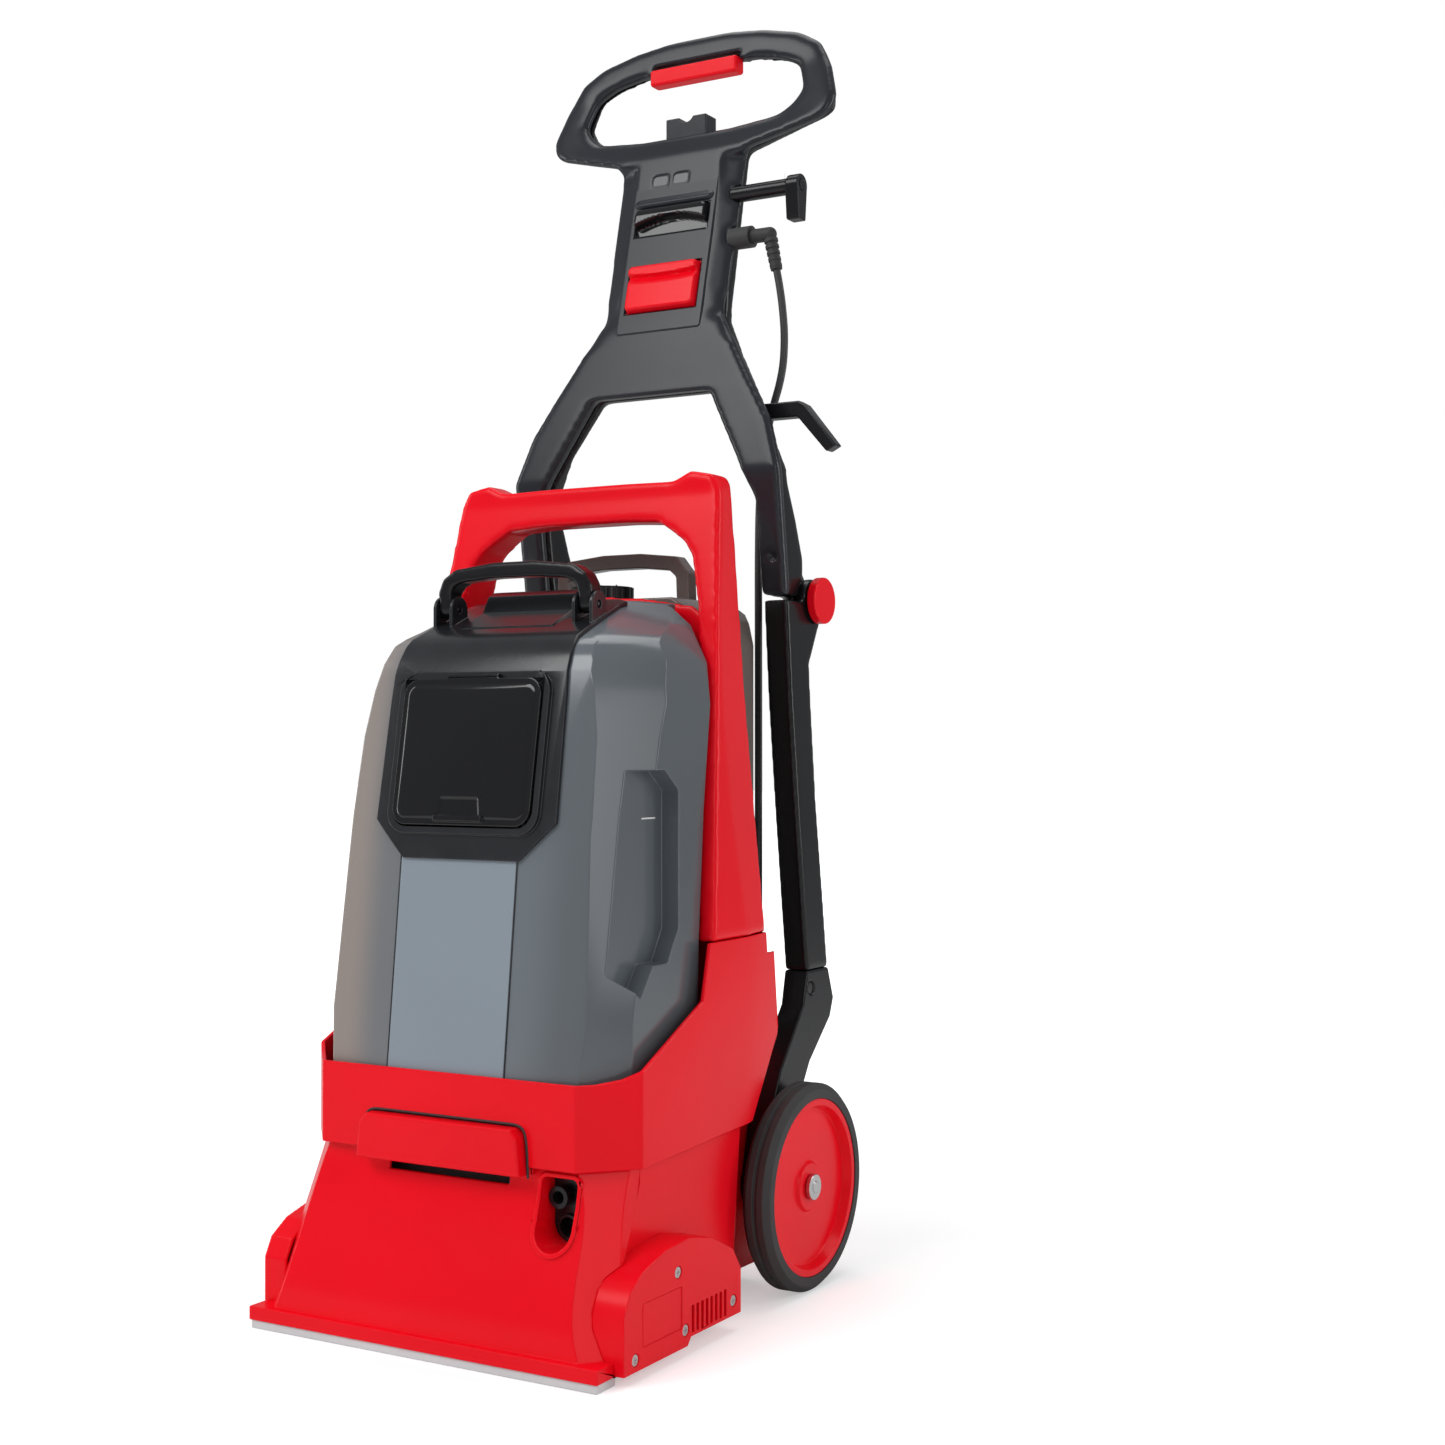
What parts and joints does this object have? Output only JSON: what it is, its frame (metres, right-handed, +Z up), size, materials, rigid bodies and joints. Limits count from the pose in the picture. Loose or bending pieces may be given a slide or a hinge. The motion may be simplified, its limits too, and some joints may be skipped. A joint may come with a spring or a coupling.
{
  "type": "upright carpet cleaner",
  "caption": "Upright carpet cleaning machine with a flared suction nozzle, lift-off smoke tank, rear solution tank, carry frame, two wheels and a folding loop handle.",
  "frame": {"origin": "on the floor, at the bottom centre of the bounding box of the machine without its power cord", "axes": "+Z up, +Y from the suction nozzle towards the back, +X to the right as seen from in front"},
  "size_m": [0.356, 0.5205, 1.15],
  "materials": {
    "red_plastic": "satin moulded plastic",
    "slate_plastic": "satin moulded plastic",
    "black_plastic": "satin moulded plastic",
    "gloss_black": "gloss",
    "dark_panel": "satin",
    "smoke_clear": "translucent smoke grey",
    "clear_tank": "translucent",
    "pale_lip": "satin",
    "inner_plastic": "matt",
    "white_plastic": "matt",
    "orange_ball": "matt",
    "bristle": "nylon bristles",
    "lens": "clear window",
    "steel": "bright",
    "black_steel": "blackened",
    "motor_metal": "cast",
    "bronze": "sintered",
    "tyre": "soft rubber",
    "rubber": "matt",
    "cord_jacket": "satin"
  },
  "bodies": {
    "base": {"lower_body": "red_plastic", "nozzle_lip": "pale_lip", "nozzle_plate": "inner_plastic", "base_pan": "black_plastic", "spray_bar": "inner_plastic", "side_cover_right": "red_plastic", "side_cover_left": "red_plastic", "cover_screws": "steel", "port_panel": "black_plastic", "fluid_coupler": "black_plastic", "front_grip": "red_plastic", "upper_body": "red_plastic", "carry_frame": "red_plastic", "tank_seal": "rubber", "brush_bushes": "bronze", "brush_motor": "motor_metal", "drive_belt": "rubber", "pump": "inner_plastic", "vacuum_motor": "motor_metal", "wheel_axle": "steel", "leg_bracket_right": "black_plastic", "leg_bracket_left": "black_plastic", "lower_leg_right": "black_plastic", "lower_leg_left": "black_plastic", "leg_screws": "black_steel", "cord": "cord_jacket", "cord_coil": "cord_jacket", "cord_plug": "black_plastic"},
    "brush": {"brush_core": "inner_plastic", "brush_bristles": "bristle", "brush_pulley": "inner_plastic"},
    "motor_shaft": {"motor_pulley": "steel"},
    "fan": {"vacuum_fan": "motor_metal"},
    "wheel_right": {"tyre_right": "tyre", "wheel_rim_right": "red_plastic"},
    "wheel_left": {"tyre_left": "tyre", "wheel_rim_left": "red_plastic"},
    "recovery": {"recovery_tank": "smoke_clear", "tank_shroud": "dark_panel", "hose_port": "black_plastic", "float_cage": "white_plastic"},
    "float": {"float_ball": "orange_ball"},
    "door": {"port_door": "gloss_black"},
    "bail": {"tank_handle": "black_plastic"},
    "solution": {"solution_tank": "clear_tank"},
    "cap": {"solution_cap": "black_plastic"},
    "plunger": {"valve_plunger": "white_plastic"},
    "handle": {"handle_front": "slate_plastic", "handle_rear": "black_plastic", "status_lenses": "lens", "hose_rest": "slate_plastic", "lower_hook": "slate_plastic", "upper_hook_arm": "slate_plastic", "strain_relief": "black_plastic"},
    "swivel": {"hook_swivel": "slate_plastic"},
    "trigger": {"trigger": "red_plastic"},
    "power": {"power_switch": "red_plastic"},
    "mode": {"mode_lever": "gloss_black"},
    "knob_right": {"knob_right": "red_plastic"},
    "knob_left": {"knob_left": "red_plastic"}
  },
  "joints": [
    {"name": "handle_fold", "type": "hinge", "parent": "base", "child": "handle", "pos_m": [0, 0.179, 0.602], "axis": [-1, 0, 0], "range_deg": [0, 150], "deforming": ["cord"]},
    {"name": "wheel_right_spin", "type": "hinge", "parent": "base", "child": "wheel_right", "pos_m": [0.165, 0.1075, 0.089], "axis": [1, 0, 0], "continuous": true},
    {"name": "wheel_left_spin", "type": "hinge", "parent": "base", "child": "wheel_left", "pos_m": [-0.165, 0.1075, 0.089], "axis": [1, 0, 0], "continuous": true},
    {"name": "brush_spin", "type": "hinge", "parent": "base", "child": "brush", "pos_m": [0, -0.146, 0.0335], "axis": [1, 0, 0], "continuous": true},
    {"name": "motor_spin", "type": "hinge", "parent": "base", "child": "motor_shaft", "pos_m": [0.12, -0.071, 0.052], "axis": [1, 0, 0], "continuous": true},
    {"name": "fan_spin", "type": "hinge", "parent": "base", "child": "fan", "pos_m": [-0.03, 0.011, 0.06], "axis": [0, 0, 1], "continuous": true},
    {"name": "tank_lift", "type": "slide", "parent": "base", "child": "recovery", "axis": [0, 0, 1], "range_m": [0, 0.12]},
    {"name": "bail_swing", "type": "hinge", "parent": "recovery", "child": "bail", "pos_m": [0, -0.085, 0.586], "axis": [1, 0, 0], "range_deg": [0, 75]},
    {"name": "door_open", "type": "hinge", "parent": "recovery", "child": "door", "pos_m": [0, -0.14432, 0.52707], "axis": [-1, 0, 0], "range_deg": [0, 100]},
    {"name": "float_rise", "type": "slide", "parent": "recovery", "child": "float", "axis": [0, 0, 1], "range_m": [0, 0.03]},
    {"name": "solution_lift", "type": "slide", "parent": "base", "child": "solution", "axis": [0, 0, 1], "range_m": [0, 0.045]},
    {"name": "cap_turn", "type": "hinge", "parent": "solution", "child": "cap", "pos_m": [-0.006, 0.0505, 0.604], "axis": [0, 0, 1], "range_deg": [0, 120]},
    {"name": "plunger_press", "type": "slide", "parent": "solution", "child": "plunger", "axis": [0, 0, 1], "range_m": [0, 0.004], "stiffness_N_per_m": 200, "springref_m": -0.002},
    {"name": "trigger_pull", "type": "slide", "parent": "handle", "child": "trigger", "axis": [0, 0, 1], "range_m": [0, 0.005], "stiffness_N_per_m": 400, "springref_m": -0.003},
    {"name": "power_press", "type": "hinge", "parent": "handle", "child": "power", "pos_m": [0, 0.14708, 0.89482], "axis": [1, 0, 0], "range_deg": [-4, 4], "stiffness_Nm_per_rad": 0.4},
    {"name": "mode_press", "type": "hinge", "parent": "handle", "child": "mode", "pos_m": [0, 0.16317, 0.96082], "axis": [1, 0, 0], "range_deg": [-4, 4], "stiffness_Nm_per_rad": 0.4},
    {"name": "hook_swivel_turn", "type": "hinge", "parent": "handle", "child": "swivel", "pos_m": [0.1235, 0.173, 0.981], "axis": [1, 0, 0], "range_deg": [0, 180]},
    {"name": "knob_right_turn", "type": "hinge", "parent": "base", "child": "knob_right", "pos_m": [0.146, 0.179, 0.602], "axis": [1, 0, 0], "continuous": true},
    {"name": "knob_left_turn", "type": "hinge", "parent": "base", "child": "knob_left", "pos_m": [-0.146, 0.179, 0.602], "axis": [1, 0, 0], "continuous": true}
  ],
  "couplings": [
    {"joint": "motor_spin", "follows": "brush_spin", "ratio": 1.5}
  ]
}
